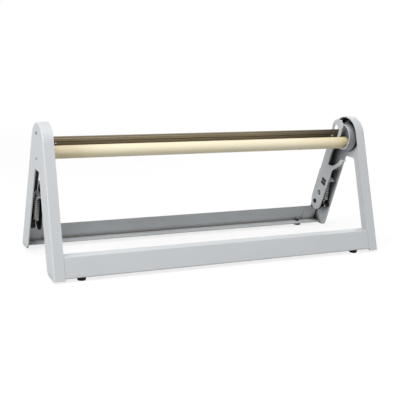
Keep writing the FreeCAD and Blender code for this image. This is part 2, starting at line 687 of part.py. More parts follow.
def arm(name, side):
    """Pressed arm: pivot end, finger hook, neck and round ear."""
    body = new_body(name)
    low, length = span(side, ARM_IN, ARM_OUT)
    neck = f"({ROLLER_FORE} - neck_behind_roller)"
    flare = f"(hook_base_along + flare_share * ({ROLLER_ALONG} - hook_base_along))"
    outline = on_arm([
        ("-arm_rear", "arm_end_along"),
        ("arm_front", "arm_end_along"),
        ("arm_front_top", "shoulder_along"),
        ("arm_front_top", "hook_root_along"),
        ("(hook_bend_fore + hook_width)", "hook_bend_along"),
        ("hook_tip_fore", "(hook_tip_along - hook_tip_height)"),
        ("hook_tip_fore", "hook_tip_along"),
        ("(hook_tip_fore - hook_width + arm_sheet)", "hook_tip_along"),
        ("hook_bend_fore", "hook_bend_along"),
        ("arm_front", "(hook_base_along + hook_tip_height)"),
        (neck, "hook_base_along"),
        (neck, flare),
        (f"({ROLLER_FORE} - flare_behind_roller)", EAR_ALONG),
        ("-arm_rear", EAR_ALONG),
    ])
    add(body, name + "Plate", low, length, outline)
    end = (f"-{ARM_END_FORE}", "arm_end_along", ARM_END_RADIUS)
    add(body, name + "End", low, length, end)
    ear = (f"(ear_behind_roller - {ROLLER_FORE})", EAR_ALONG, "ear_radius")
    add(body, name + "Ear", low, length, ear)
    round_corners(body, name + "Root", "hook_width / 2", [outline[3]])
    round_corners(body, name + "Saddle", "hook_width / 2", [outline[4], outline[8]])
    round_corners(body, name + "Tip", "hook_corner", [outline[5], outline[6], outline[7], outline[10]])
    # lip turned outward along the hook's tip
    near, reach = span(side, ARM_OUT, f"({ARM_OUT} + hook_lip)")
    lip_rear = "(hook_tip_fore - hook_width + arm_sheet + hook_corner)"
    lip = on_arm([
        (lip_rear, "hook_tip_along"),
        ("(hook_tip_fore - hook_corner)", "hook_tip_along"),
        ("(hook_tip_fore - hook_corner)", "(hook_tip_along - arm_sheet)"),
        (lip_rear, "(hook_tip_along - arm_sheet)"),
    ])
    add(body, name + "Lip", near, reach, lip)
    # stiffening lip turned outward along the foot of the hook
    near, reach = span(side, ARM_OUT, f"({ARM_OUT} + saddle_lip)")
    saddle = on_arm([
        ("saddle_lip_rear", "(hook_base_along - arm_sheet)"),
        ("saddle_lip_rear", "hook_base_along"),
        ("arm_front", "hook_base_along"),
        ("arm_front", "(hook_base_along - arm_sheet)"),
    ])
    add(body, name + "SaddleLip", near, reach, saddle)
    # tab turned outward for the spring's upper loop
    near, reach = span(side, ARM_OUT, f"({SPRING_X} + tab_end)")
    tab_high = "(tab_along + tab_thickness / 2)"
    tab_low = "(tab_along - tab_thickness / 2)"
    tab = on_arm([
        ("arm_front_top - plug_fit", tab_low),
        ("arm_front_top - plug_fit", tab_high),
        ("tab_rear", tab_high),
        ("tab_rear", tab_low),
    ])
    add(body, name + "Tab", near, reach, tab)
    hole_x = f"{side} * ({SPRING_X} - tab_loop_radius)"
    hole = (hole_x, f"-{SPRING_TOP_FORE}", "tab_hole_diameter / 2")
    cut(body, name + "TabHole", f"({tab_low} - {OVERCUT})", f"(tab_thickness + 2 * {OVERCUT})",
        hole, "XY_Plane")
    # window, button, pivot bore and ear hole through the plate
    near, reach = span(side, f"({ARM_IN} - {OVERCUT})", f"({ARM_OUT} + {OVERCUT})")
    cut(body, name + "Window", near, reach, window("(window_size / 2 + plug_fit)"))
    button = ("-button_fore", "button_along", "(button_diameter / 2 + plug_fit)")
    cut(body, name + "Button", near, reach, button)
    cut(body, name + "Bore", near, reach, ("0", "0", "(pivot_diameter / 2 + pivot_fit)"))
    hole = (f"(ear_hole_behind_roller - {ROLLER_FORE})", f"({ROLLER_ALONG} + ear_hole_above_roller)",
            "ear_hole_diameter / 2")
    cut(body, name + "EarHole", near, reach, hole)
    for word, along, fore in END_SCREWS:
        hole = (f"-{fore}", along, "(end_screw_diameter / 2 + plug_fit)")
        cut(body, f"{name}{word}Screw", near, reach, hole)
    # straight front of the ear, and the hollow below it that clears the roller
    front = f"({ROLLER_FORE} - ear_front_behind_roller)"
    beyond = f"({front} + ear_radius)"
    above = f"({EAR_ALONG} + 1.2 * ear_radius)"
    corners = [(front, ROLLER_ALONG), (beyond, ROLLER_ALONG), (beyond, above), (front, above)]
    cut(body, name + "EarFront", near, reach, on_arm(corners))
    relief = (f"-{ROLLER_FORE}", ROLLER_ALONG, "(roller_diameter / 2 + roller_relief)")
    cut(body, name + "Relief", near, reach, relief)
    return keep(place_on_arm(body), name)


def window(half):
    """Square outline of the arm's window, from its half width."""
    signs = ((-1, -1), (1, -1), (1, 1), (-1, 1))
    return on_arm([(f"(window_fore + {p} * {half})", f"(window_along + {q} * {half})") for p, q in signs])


def backing_plate(name, side):
    """Nylon plate behind the arm, with a square plug and a round one in its holes."""
    body = new_body(name)
    low, length = span(side, ARM_OUT, BACKING_OUT)
    strip_top = f"({ROLLER_ALONG} - backing_below_roller)"
    outline = on_arm([
        ("-(arm_rear + backing_overhang)", "arm_end_along"),
        ("(arm_front - backing_margin)", "arm_end_along"),
        ("(arm_front - backing_margin)", "backing_top"),
        ("backing_strip_front", "backing_top"),
        ("backing_strip_front", strip_top),
        ("-(arm_rear - backing_margin)", strip_top),
        ("-(arm_rear - backing_margin)", "backing_step"),
        ("-(arm_rear + backing_overhang)", "backing_step"),
    ])
    add(body, name + "Plate", low, length, outline)
    end = (f"-{ARM_END_FORE}", "arm_end_along", f"({ARM_END_RADIUS} + backing_foot)")
    add(body, name + "End", low, length, end)
    round_corners(body, name + "Corners", "backing_margin", [outline[2], outline[4], outline[5]])
    near, reach = span(side, ARM_IN, ARM_OUT)
    add(body, name + "Plug", near, reach, window("window_size / 2"))
    button = ("-button_fore", "button_along", "button_diameter / 2")
    add(body, name + "Button", near, reach, button)
    near, reach = span(side, f"({ARM_IN} - {OVERCUT})", f"({BACKING_OUT} + {OVERCUT})")
    cut(body, name + "Bore", near, reach, ("0", "0", "(pivot_diameter / 2 + pivot_fit)"))
    hole = ("-button_fore", "button_along", "(rivet_diameter / 2 + plug_fit)")
    cut(body, name + "RivetHole", near, reach, hole)
    return keep(place_on_arm(body), name)


def rivets():
    """Rivets through the round plugs, with a head on each face."""
    pieces = []
    grip = "(arm_sheet + backing_thickness)"
    for word, side in SIDES.items():
        profile = [
            ("0", "-rivet_head_height"),
            ("rivet_head_diameter / 2", "-rivet_head_height"),
            ("rivet_head_diameter / 2", "0"),
            ("rivet_diameter / 2", "0"),
            ("rivet_diameter / 2", grip),
            ("rivet_head_diameter / 2", grip),
            ("rivet_head_diameter / 2", f"({grip} + rivet_head_height)"),
            ("0", f"({grip} + rivet_head_height)"),
        ]
        y = arm_y("button_fore", "button_along")
        z = arm_z("button_fore", "button_along")
        pieces.append(place_inward(turned("ArmRivet" + word, profile), side, BACKING_OUT, y, z))
    return group("arm_rivets", pieces)


def pivot(word, side):
    """Post welded inside the rear leg, and the screw that keeps the arm on it."""
    length = f"({WEB_IN} - {BACKING_OUT} - pivot_end_play)"
    shoulder = f"({WEB_IN} - {ARM_IN} + pivot_end_play)"
    post = [
        ("0", "0"),
        ("post_diameter / 2", "0"),
        ("post_diameter / 2", length),
        ("pivot_diameter / 2", length),
        ("pivot_diameter / 2", shoulder),
        ("pivot_screw_diameter / 2", shoulder),
        ("pivot_screw_diameter / 2", f"({shoulder} - pivot_screw_depth)"),
        ("0", f"({shoulder} - pivot_screw_depth)"),
    ]
    name = f"{word}_pivot_post"
    keep(place_inward(turned(name, post), side, WEB_IN, PIVOT_Y, PIVOT_Z), name)
    screw = [
        ("0", "-pivot_screw_depth"),
        ("pivot_screw_diameter / 2", "-pivot_screw_depth"),
        ("pivot_screw_diameter / 2", "0"),
        ("pivot_head_diameter / 2", "0"),
        ("pivot_head_diameter / 2", "pivot_head_height"),
        ("0", "pivot_head_height"),
    ]
    name = f"{word}_pivot_screw"
    end = f"({ARM_IN} - pivot_end_play)"
    keep(place_inward(turned(name, screw), side, end, PIVOT_Y, PIVOT_Z), name)


def spring_anchor(name, side):
    """Grooved pin inside the rear leg that holds the spring's lower loop."""
    neck = f"({WEB_IN} - {SPRING_X} - anchor_neck_width / 2)"
    head = f"({neck} + anchor_neck_width)"
    profile = [
        ("0", "0"),
        ("anchor_diameter / 2", "0"),
        ("anchor_diameter / 2", neck),
        ("anchor_neck / 2", neck),
        ("anchor_neck / 2", head),
        ("anchor_diameter / 2", head),
        ("anchor_diameter / 2", f"({head} + anchor_head)"),
        ("0", f"({head} + anchor_head)"),
    ]
    y = arm_y("anchor_fore", "anchor_along")
    z = arm_z("anchor_fore", "anchor_along")
    return keep(place_inward(turned(name, profile), side, WEB_IN, y, z), name)


def wire(name, low, length, x="0", z_axis=True):
    """Straight run of spring wire, along the coil or across to its axis."""
    run = doc.addObject("Part::Cylinder", name)
    run.setExpression("Radius", bound("wire_diameter / 2"))
    run.setExpression("Height", bound(length))
    return place(run, x, "0", low, (0, 1, 0), "0" if z_axis else "90")


def spring(name, side):
    """Extension spring: a coil with a loop on each end, drawn up from its anchor."""
    coil_high = "(coil_low + coil_length)"
    helix = doc.addObject("Part::Helix", name + "Helix")
    helix.setExpression("Radius", bound("coil_radius"))
    helix.setExpression("Height", bound("coil_length"))
    helix.setExpression("Pitch", bound("coil_length / floor(coil_length / coil_pitch)"))
    place(helix, "0", "0", "coil_low")
    section = doc.addObject("Part::Circle", name + "Section")
    section.setExpression("Radius", bound("wire_diameter / 2"))
    place(section, "coil_radius", "0", "coil_low", (1, 0, 0), "90")
    coil = doc.addObject("Part::Sweep", name + "Coil")
    coil.Sections = [section]
    coil.Spine = (helix, ["Edge1"])
    coil.Solid = True
    coil.Frenet = True
    lower = "loop_radius"
    tab_centre = f"({SPRING_TOP} - tab_loop_drop)"
    upper = f"({tab_centre} - tab_loop_radius)"
    runs = [
        wire(name + "LowerRun", lower, f"(coil_low - {lower})"),
        wire(name + "UpperRun", coil_high, f"({upper} - {coil_high})"),
        wire(name + "LowerLink", "coil_low", "coil_radius", "0", False),
        wire(name + "UpperLink", coil_high, "coil_radius", "0", False),
    ]
    for word, radius, centre, axis in (("Lower", "loop_radius", "0", (0, 1, 0)),
                                       ("Upper", "tab_loop_radius", tab_centre, (1, 0, 0))):
        loop = doc.addObject("Part::Torus", name + word + "Loop")
        loop.setExpression("Radius1", bound(radius))
        loop.setExpression("Radius2", bound("wire_diameter / 2"))
        runs.append(place(loop, "0", "0", centre, axis, "90"))
    whole = doc.addObject("Part::MultiFuse", name)
    whole.Shapes = [coil] + runs
    y = arm_y("anchor_fore", "anchor_along")
    z = arm_z("anchor_fore", "anchor_along")
    place(whole, f"{side} * {SPRING_X}", y, z, (1, 0, 0), "spring_lean")
    return keep(whole, name)


def cutter_bar():
    """Folded bar between the ears, with a lip that bears on the roller."""
    body = new_body("cutter_bar")
    reach = f"({ARM_IN} - bar_end_gap)"
    back = f"({BAR_FACE} - bar_sheet)"
    lip = f"({ROLLER_FORE} - roller_diameter / 2 - lip_to_roller)"
    low = f"({ROLLER_ALONG} - bar_below_roller)"
    top = f"({ROLLER_ALONG} + bar_above_roller)"
    lip_top = f"({ROLLER_ALONG} + lip_above_roller)"
    section = on_arm([
        (BAR_FACE, top),
        (BAR_FACE, f"({low} + bar_sheet)"),
        (f"({lip} - bar_sheet)", f"({low} + bar_sheet)"),
        (f"({lip} - bar_sheet)", lip_top),
        (lip, lip_top),
        (lip, low),
        (back, low),
        (back, top),
    ])
    add(body, "BarSection", f"-{reach}", f"2 * {reach}", section)
    round_corners(body, "BarFolds", "bar_sheet", [section[5], section[6]])
    tab_low = f"({ROLLER_ALONG} - end_tab_below_roller)"
    tab_high = f"({ROLLER_ALONG} + end_tab_above_roller)"
    tab_back = f"({BAR_FACE} - end_tab_behind_face)"
    tab = on_arm([
        (back, tab_low),
        (back, tab_high),
        (tab_back, tab_high),
        (tab_back, tab_low),
    ])
    for word, side in SIDES.items():
        near, length = span(side, f"({reach} - end_tab_thickness)", reach)
        add(body, "EndTab" + word, near, length, tab)
        near, length = span(side, f"({reach} - end_tab_thickness - {OVERCUT})",
                            f"({reach} + {OVERCUT})")
        for place_word, along, fore in END_SCREWS:
            hole = (f"-{fore}", along, "(end_screw_diameter / 2 + plug_fit)")
            cut(body, f"EndHole{word}{place_word}", near, length, hole)
        face_hole(body, "BladeHole" + word, side, f"({back} - {OVERCUT})",
                  f"(bar_sheet + 2 * {OVERCUT})")
    return keep(place_on_arm(body), "cutter_bar")


def face_hole(body, name, side, start, depth):
    """Hole for a blade screw, from a distance forward of the pivot line."""
    hole = (f"{side} * ({HALF_WIDTH} - blade_screw_from_end)", BLADE_SCREW_ALONG,
            "(blade_screw_diameter / 2 + plug_fit)")
    return cut(body, name, start, depth, hole, "XZ_Plane")


def blade_part(name, thickness, start, top, bevel):
    """Flat strip on the front of the cutter bar, with a bevelled upper edge."""
    body = new_body(name)
    reach = f"({ARM_IN} - bar_end_gap)"
    front = f"({start} + {thickness})"
    foot = f"({ROLLER_ALONG} - blade_foot)"
    section = on_arm([
        (start, foot),
        (front, foot),
        (front, f"({ROLLER_ALONG} + {top} - {bevel})"),
        (f"({start} + {thickness} / 4)", f"({ROLLER_ALONG} + {top})"),
        (start, f"({ROLLER_ALONG} + {top})"),
    ])
    add(body, name + "Strip", f"-{reach}", f"2 * {reach}", section)
    for word, side in SIDES.items():
        face_hole(body, f"{name}Hole{word}", side, f"({start} - {OVERCUT})",
                  f"({thickness} + 2 * {OVERCUT})")
    return keep(place_on_arm(body), name)


def clamp_strip():
    """Strip that clamps the blade, with a shallow groove along its front."""
    start = f"({BAR_FACE} + blade_thickness)"
    body = blade_part("blade_clamp_strip", "strip_thickness", start, "strip_above_roller",
                      "strip_bevel")
    reach = f"({ARM_IN} + {OVERCUT})"
    floor = f"({start} + strip_thickness - groove_depth)"
    over = f"({start} + strip_thickness + {OVERCUT})"
    groove = f"({ROLLER_ALONG} + groove_above_roller)"
    section = on_arm([
        (floor, groove),
        (over, groove),
        (over, f"({groove} + groove_width)"),
        (floor, f"({groove} + groove_width)"),
    ])
    cut(body, "StripGroove", f"-{reach}", f"2 * {reach}", section)


def blade_fasteners():
    """Screws through strip, blade and bar face, each with a nut behind."""
    screws = []
    nuts = []
    head_fore = f"({BAR_FACE} + blade_thickness + strip_thickness)"
    back = f"({BAR_FACE} - bar_sheet)"
    for word, side in SIDES.items():
        end = f"({head_fore} - {back} + blade_nut_height)"
        profile = [
            ("0", f"-{end}"),
            ("blade_screw_diameter / 2", f"-{end}"),
            ("blade_screw_diameter / 2", "0"),
            ("blade_head_diameter / 2", "0"),
            ("0.4 * blade_head_diameter", "0.6 * blade_head_height"),
            ("0.2 * blade_head_diameter", "blade_head_height"),
            ("0", "blade_head_height"),
        ]
        screw = turned("BladeScrew" + word, profile)
        x = f"{side} * ({HALF_WIDTH} - blade_screw_from_end)"
        y = arm_y(head_fore, BLADE_SCREW_ALONG)
        z = arm_z(head_fore, BLADE_SCREW_ALONG)
        screws.append(place(screw, x, y, z, (1, 0, 0), "leg_angle + 90"))
        nut = hex_nut("BladeNut" + word, "end_nut_size", "blade_nut_height", "blade_screw_diameter")
        base = f"({back} - blade_nut_height)"
        y = arm_y(base, BLADE_SCREW_ALONG)
        z = arm_z(base, BLADE_SCREW_ALONG)
        nuts.append(place(nut, x, y, z, (1, 0, 0), "leg_angle + 90"))
    group("blade_screws", screws)
    group("blade_nuts", nuts)


def bar_end_fasteners():
    """Screws from outside each ear into nuts behind the bar's end tabs."""
    screws = []
    nuts = []
    grip = "(arm_sheet + bar_end_gap + end_tab_thickness)"
    for word, side in SIDES.items():
        for place_word, along, fore in END_SCREWS:
            end = f"({grip} + end_nut_height)"
            profile = [
                ("0", "-end_head_height"),
                ("end_head_diameter / 2", "-end_head_height"),
                ("end_head_diameter / 2", "0"),
                ("end_screw_diameter / 2", "0"),
                ("end_screw_diameter / 2", end),
                ("0", end),
            ]
            y = arm_y(fore, along)
            z = arm_z(fore, along)
            screw = turned(f"EndScrew{word}{place_word}", profile)
            screws.append(place_inward(screw, side, ARM_OUT, y, z))
            nut = hex_nut(f"EndNut{word}{place_word}", "end_nut_size", "end_nut_height",
                          "end_screw_diameter")
            nuts.append(place_inward(nut, side, f"({ARM_OUT} - {grip})", y, z))
    group("bar_end_screws", screws)
    group("bar_end_nuts", nuts)


for side_word, side_sign in SIDES.items():
    end_frame(f"{side_word}_end_frame", side_sign)
base_bar("front_base_bar", -1, True)
base_bar("rear_base_bar", 1, False)
for side_word, side_sign in SIDES.items():
    splice_plate(f"front_{side_word}_splice_plate", side_sign, -1)
    splice_plate(f"rear_{side_word}_splice_plate", side_sign, 1)
feet()
for side_word, side_sign in SIDES.items():
    roller_cup(f"{side_word}_roller_cup", side_sign)
cup_screws("upper", 1)
cup_screws("lower", -1)
roller()
for side_word, side_sign in SIDES.items():
    arm(f"{side_word}_arm", side_sign)
    backing_plate(f"{side_word}_arm_backing", side_sign)
    pivot(side_word, side_sign)
    spring_anchor(f"{side_word}_spring_anchor", side_sign)
    spring(f"{side_word}_spring", side_sign)
rivets()
cutter_bar()
blade_part("cutter_blade", "blade_thickness", BAR_FACE, "blade_above_roller", "blade_bevel")
clamp_strip()
blade_fasteners()
bar_end_fasteners()

doc.recompute()
for item in doc.Objects:
    if "Invalid" in item.State or "Error" in item.State:
        raise RuntimeError(f"{item.Name} failed: {item.State}")
for node in nodes:
    if node.Shape.isNull() or not node.Shape.isValid():
        raise RuntimeError(f"{node.Label} has no valid shape")
os.makedirs("parts", exist_ok=True)
for node in nodes:
    node.Shape.exportStep(f"parts/{node.Label}.step")
print(len(nodes), "nodes")
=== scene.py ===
from math import cos, pi, radians, sin

import bmesh
import bpy
from mathutils import Matrix, Vector


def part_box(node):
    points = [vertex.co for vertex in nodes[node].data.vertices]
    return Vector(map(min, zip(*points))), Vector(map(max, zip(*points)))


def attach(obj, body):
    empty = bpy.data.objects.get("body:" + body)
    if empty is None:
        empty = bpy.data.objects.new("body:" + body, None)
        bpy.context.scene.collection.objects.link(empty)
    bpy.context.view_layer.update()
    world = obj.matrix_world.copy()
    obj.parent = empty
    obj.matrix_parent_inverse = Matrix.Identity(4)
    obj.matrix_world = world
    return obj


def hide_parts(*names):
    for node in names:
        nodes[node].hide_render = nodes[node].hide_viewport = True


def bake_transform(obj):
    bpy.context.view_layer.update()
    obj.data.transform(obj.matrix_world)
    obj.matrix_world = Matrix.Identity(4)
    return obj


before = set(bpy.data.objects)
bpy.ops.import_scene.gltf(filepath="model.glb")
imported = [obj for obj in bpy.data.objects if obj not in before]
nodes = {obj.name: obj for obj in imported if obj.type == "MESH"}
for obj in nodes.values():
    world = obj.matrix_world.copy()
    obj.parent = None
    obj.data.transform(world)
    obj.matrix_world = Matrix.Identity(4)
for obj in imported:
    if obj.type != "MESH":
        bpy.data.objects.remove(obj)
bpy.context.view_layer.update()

# Viewpoint: a little left of the middle and slightly above the roller, about
# 1.7 m away with a long lens, and turned a few degrees about its own line of
# sight.
camera_place = (-0.700188, -1.456312, 0.493495)
heading, tilt, roll = radians(-25.263517), radians(90.0 - 13.590564), radians(2.692514)
camera = bpy.data.objects.new("viewpoint", bpy.data.cameras.new("viewpoint"))
camera.data.sensor_width = 36.0
camera.data.lens = 72.765
camera.data.clip_end = 60.0
camera.matrix_world = (
    Matrix.Translation(camera_place)
    @ Matrix.Rotation(heading, 4, "Z")
    @ Matrix.Rotation(tilt, 4, "X")
    @ Matrix.Rotation(roll, 4, "Z")
)
bpy.context.scene.collection.objects.link(camera)
bpy.context.scene.camera = camera
bpy.context.scene.view_settings.view_transform = "Standard"


# Studio: large softboxes overhead, at the left and behind at the right, and a
# weak one in front, in a room that gives back little light from below, so tops
# are bright and undersides darker.  The room and the sweep are seen as white.
def linear(hex_colour):
    """Linear RGBA of an sRGB hex colour."""
    parts = [int(hex_colour[i:i + 2], 16) / 255 for i in (1, 3, 5)]
    red_green_blue = [c / 12.92 if c <= 0.04045 else ((c + 0.055) / 1.055) ** 2.4 for c in parts]
    return (*red_green_blue, 1.0)


def add_node(tree, kind, inputs=None, **settings):
    """A shader node with its settings; each input takes a value or another node's socket."""
    node = tree.nodes.new("ShaderNode" + kind)
    for name, value in settings.items():
        setattr(node, name, value)
    for socket, value in (inputs or {}).items():
        if isinstance(value, bpy.types.NodeSocket):
            tree.links.new(value, node.inputs[socket])
        else:
            node.inputs[socket].default_value = value
    return node


def new_material(name):
    """An empty material and its node tree."""
    material = bpy.data.materials.new(name)
    material.use_nodes = True
    material.node_tree.nodes.clear()
    return material, material.node_tree


def seen_background(tree):
    """1 where the ray comes from the camera, a gloss or a glass, else 0."""
    rays = add_node(tree, "LightPath").outputs
    bright = add_node(tree, "Math", {0: rays["Is Camera Ray"], 1: rays["Is Glossy Ray"]},
                      operation="MAXIMUM")
    return add_node(tree, "Math", {0: bright.outputs["Value"], 1: rays["Is Transmission Ray"]},
                    operation="MAXIMUM").outputs["Value"]


world = bpy.data.worlds.new("white_room")
bpy.context.scene.world = world
world.use_nodes = True
tree = world.node_tree
tree.nodes.clear()
dome = add_node(tree, "Background", {"Color": linear("#F8FAFC"), "Strength": 0.26})
sweep = add_node(tree, "Background", {"Color": (1, 1, 1, 1), "Strength": 1.0})
room = add_node(tree, "MixShader", {
    0: seen_background(tree), 1: dome.outputs["Background"], 2: sweep.outputs["Background"]})
add_node(tree, "OutputWorld", {"Surface": room.outputs["Shader"]})

lamps_aim = Vector((0.0, 0.0, 0.12))
for name, place, size, watts in (
    ("overhead_softbox", (-0.5, -0.6, 2.3), 1.5, 37.0),
    ("left_softbox", (-2.4, -0.7, 1.1), 1.3, 37.0),
    ("front_softbox", (1.1, -2.3, 0.8), 1.2, 9.0),
    ("rear_softbox", (2.3, 1.3, 0.7), 1.3, 42.0),
):
    lamp = bpy.data.lights.new(name, "AREA")
    lamp.size = size
    lamp.energy = watts
    lamp_object = bpy.data.objects.new(name, lamp)
    turn = (lamps_aim - Vector(place)).to_track_quat("-Z", "Y").to_matrix().to_4x4()
    lamp_object.matrix_world = Matrix.Translation(place) @ turn
    bpy.context.scene.collection.objects.link(lamp_object)

# the sweep's own glow takes over from its lit paper between 0.9 and 1.7 m out
lit_within, glow_from = 0.9, 1.7
material, tree = new_material("white_sweep")
place = add_node(tree, "TexCoord").outputs["Object"]
out = add_node(tree, "VectorMath", {0: place}, operation="LENGTH")
far = add_node(tree, "MapRange", {
    "Value": out.outputs["Value"], "From Min": lit_within, "From Max": glow_from,
    "To Min": 0.0, "To Max": 1.0})
bounce = add_node(tree, "BsdfDiffuse", {"Color": linear("#A6A6A6")})
paper = add_node(tree, "BsdfDiffuse", {"Color": linear("#7C7C7C")})
glow = add_node(tree, "Emission", {"Color": (1, 1, 1, 1), "Strength": 0.80})
near_look = add_node(tree, "AddShader", {0: paper.outputs["BSDF"], 1: glow.outputs["Emission"]})
white = add_node(tree, "Emission", {"Color": (1, 1, 1, 1), "Strength": 1.0})
shown = add_node(tree, "MixShader", {
    0: far.outputs["Result"], 1: near_look.outputs["Shader"], 2: white.outputs["Emission"]})
floor_look = add_node(tree, "MixShader", {
    0: seen_background(tree), 1: bounce.outputs["BSDF"], 2: shown.outputs["Shader"]})
add_node(tree, "OutputMaterial", {"Surface": floor_look.outputs["Shader"]})
mesh = bpy.data.meshes.new("floor")
shape = bmesh.new()
bmesh.ops.create_grid(shape, x_segments=1, y_segments=1, size=12.0)
shape.to_mesh(mesh)
shape.free()
floor = bpy.data.objects.new("floor", mesh)
mesh.materials.append(material)
bpy.context.scene.collection.objects.link(floor)


# End frames, base bars, splice plates and arms: 2 mm steel sheet, folded and
# spot welded, then powder coated light grey in a satin finish.  Deep in the
# channels and corners the coat's colour is painted dark, a painted shade.
sides = {"left": -1, "right": 1}
# a Mix node's colour sockets by number, because its other sockets share their names
colour_a, colour_b, blended = 6, 7, 2


def recess(tree, reach, open_at, shut_at):
    """0 on an open face and 1 deep in a corner or channel, judged within a reach in metres."""
    hidden = add_node(tree, "AmbientOcclusion", {"Distance": reach}, samples=8)
    return add_node(tree, "MapRange", {
        "Value": hidden.outputs["AO"], "From Min": open_at, "From Max": shut_at,
        "To Min": 0.0, "To Max": 1.0}).outputs["Result"]


def powder_coated(name, reach, shut_at, shade_low, shade_high):
    """The light grey coat, darkened by painted shade in corners judged within a reach."""
    material, tree = new_material(name)
    place = add_node(tree, "TexCoord").outputs["Object"]
    # the coat's clouds are 110 mm across, its specks 1.4 mm and the painted shade's mottle 22 mm
    cloud = add_node(tree, "TexNoise", {
        "Vector": place, "Scale": 9.0, "Detail": 3.0, "Roughness": 0.55})
    speck = add_node(tree, "TexNoise", {"Vector": place, "Scale": 700.0, "Detail": 2.0})
    tone = add_node(tree, "Mix", {
        "Factor": cloud.outputs["Fac"], colour_a: linear("#C3C6C8"), colour_b: linear("#CED1D3")},
        data_type="RGBA")
    fleck = add_node(tree, "MapRange", {
        "Value": speck.outputs["Fac"], "From Min": 0.35, "From Max": 0.65,
        "To Min": 0.0, "To Max": 0.10})
    coat = add_node(tree, "Mix", {
        "Factor": fleck.outputs["Result"], colour_a: tone.outputs[blended],
        colour_b: linear("#A2A5A7")}, data_type="RGBA")
    shade_mottle = add_node(tree, "TexNoise", {"Vector": place, "Scale": 45.0, "Detail": 4.0})
    painted_shade_tone = add_node(tree, "Mix", {
        "Factor": shade_mottle.outputs["Fac"], colour_a: linear(shade_low), colour_b: linear(shade_high)},
        data_type="RGBA")
    # painted shade: where the corner mask is high the coat turns to the dark shade tones
    shaded_coat = add_node(tree, "Mix", {
        "Factor": recess(tree, reach, 0.62, shut_at), colour_a: coat.outputs[blended],
        colour_b: painted_shade_tone.outputs[blended]}, data_type="RGBA")
    gloss = add_node(tree, "MapRange", {
        "Value": cloud.outputs["Fac"], "From Min": 0.3, "From Max": 0.7,
        "To Min": 0.40, "To Max": 0.50})
    # orange peel, drawn at 2.5 mm because the real 1 mm peel is finer than a pixel
    peel = add_node(tree, "TexNoise", {"Vector": place, "Scale": 400.0, "Detail": 1.0})
    relief = add_node(tree, "Bump", {
        "Height": peel.outputs["Fac"], "Strength": 0.10, "Distance": 0.0004})
    surface = add_node(tree, "BsdfPrincipled", {
        "Base Color": shaded_coat.outputs[blended], "Roughness": gloss.outputs["Result"],
        "Normal": relief.outputs["Normal"], "IOR": 1.5, "Specular IOR Level": 0.35})
    add_node(tree, "OutputMaterial", {"Surface": surface.outputs["BSDF"]})
    return material


def give_finish(material, names):
    """Put a material on carried-over nodes in place of their plain one."""
    for name in names:
        nodes[name].data.materials.clear()
        nodes[name].data.materials.append(material)


# the last two colours of each coat are its painted shade in corners and channels
frame_coat = powder_coated("powder_coated_steel", 0.032, 0.34, "#040404", "#12110F")
bar_coat = powder_coated("powder_coated_steel_bars", 0.020, 0.20, "#6E6A61", "#807C73")
arm_coat = powder_coated("powder_coated_steel_arms", 0.004, 0.10, "#3A3A38", "#55554F")
give_finish(frame_coat, ["left_end_frame", "right_end_frame"])
give_finish(bar_coat, ["front_base_bar", "rear_base_bar"]
            + [f"{end}_{side}_splice_plate" for end in ("front", "rear") for side in sides])
give_finish(arm_coat, ["left_arm", "right_arm"])

# Feet: black rubber, moulded, each held by a screw let into its sole, with a
# blackened nut on the bar's ledge.  The rubber is matt with a fine grain; the
# nuts, the spring anchors and the pivot posts share one black finish.
rubber, tree = new_material("moulded_rubber")
place = add_node(tree, "TexCoord").outputs["Object"]
# drawn at 4 mm, because the real grain of 0.3 mm is finer than a pixel
grain = add_node(tree, "TexNoise", {"Vector": place, "Scale": 260.0, "Detail": 3.0})
tone = add_node(tree, "Mix", {
    "Factor": grain.outputs["Fac"], colour_a: linear("#070707"), colour_b: linear("#141415")},
    data_type="RGBA")
relief = add_node(tree, "Bump", {
    "Height": grain.outputs["Fac"], "Strength": 0.3, "Distance": 0.0003})
surface = add_node(tree, "BsdfPrincipled", {
    "Base Color": tone.outputs[blended], "Roughness": 0.80, "Normal": relief.outputs["Normal"],
    "IOR": 1.52, "Specular IOR Level": 0.2})
add_node(tree, "OutputMaterial", {"Surface": surface.outputs["BSDF"]})
give_finish(rubber, [f"{end}_{side}_foot" for end in ("front", "rear") for side in sides])

black_oxide, tree = new_material("blackened_steel")
place = add_node(tree, "TexCoord").outputs["Object"]
# the oxide's mottle is drawn at 2 mm, twice its real size, to show at all
grain = add_node(tree, "TexNoise", {"Vector": place, "Scale": 500.0, "Detail": 3.0})
tone = add_node(tree, "Mix", {
    "Factor": grain.outputs["Fac"], colour_a: linear("#0F0F0F"), colour_b: linear("#242322")},
    data_type="RGBA")
surface = add_node(tree, "BsdfPrincipled", {
    "Base Color": tone.outputs[blended], "Metallic": 0.15, "Roughness": 0.55,
    "Specular IOR Level": 0.25})
add_node(tree, "OutputMaterial", {"Surface": surface.outputs["BSDF"]})
give_finish(black_oxide, ["foot_nuts", "left_spring_anchor", "right_spring_anchor",
                          "left_pivot_post", "right_pivot_post"])

# Screws, nuts and rivets: headed steel with bright zinc plating, which is
# slightly blue, a little uneven in blotches of 6 mm, and painted dark in its corners as shade.
bright_zinc, tree = new_material("bright_zinc_plate")
place = add_node(tree, "TexCoord").outputs["Object"]
blotch = add_node(tree, "TexNoise", {"Vector": place, "Scale": 180.0, "Detail": 4.0})
tone = add_node(tree, "Mix", {
    "Factor": blotch.outputs["Fac"], colour_a: linear("#8F9499"), colour_b: linear("#B9BCC0")},
    data_type="RGBA")
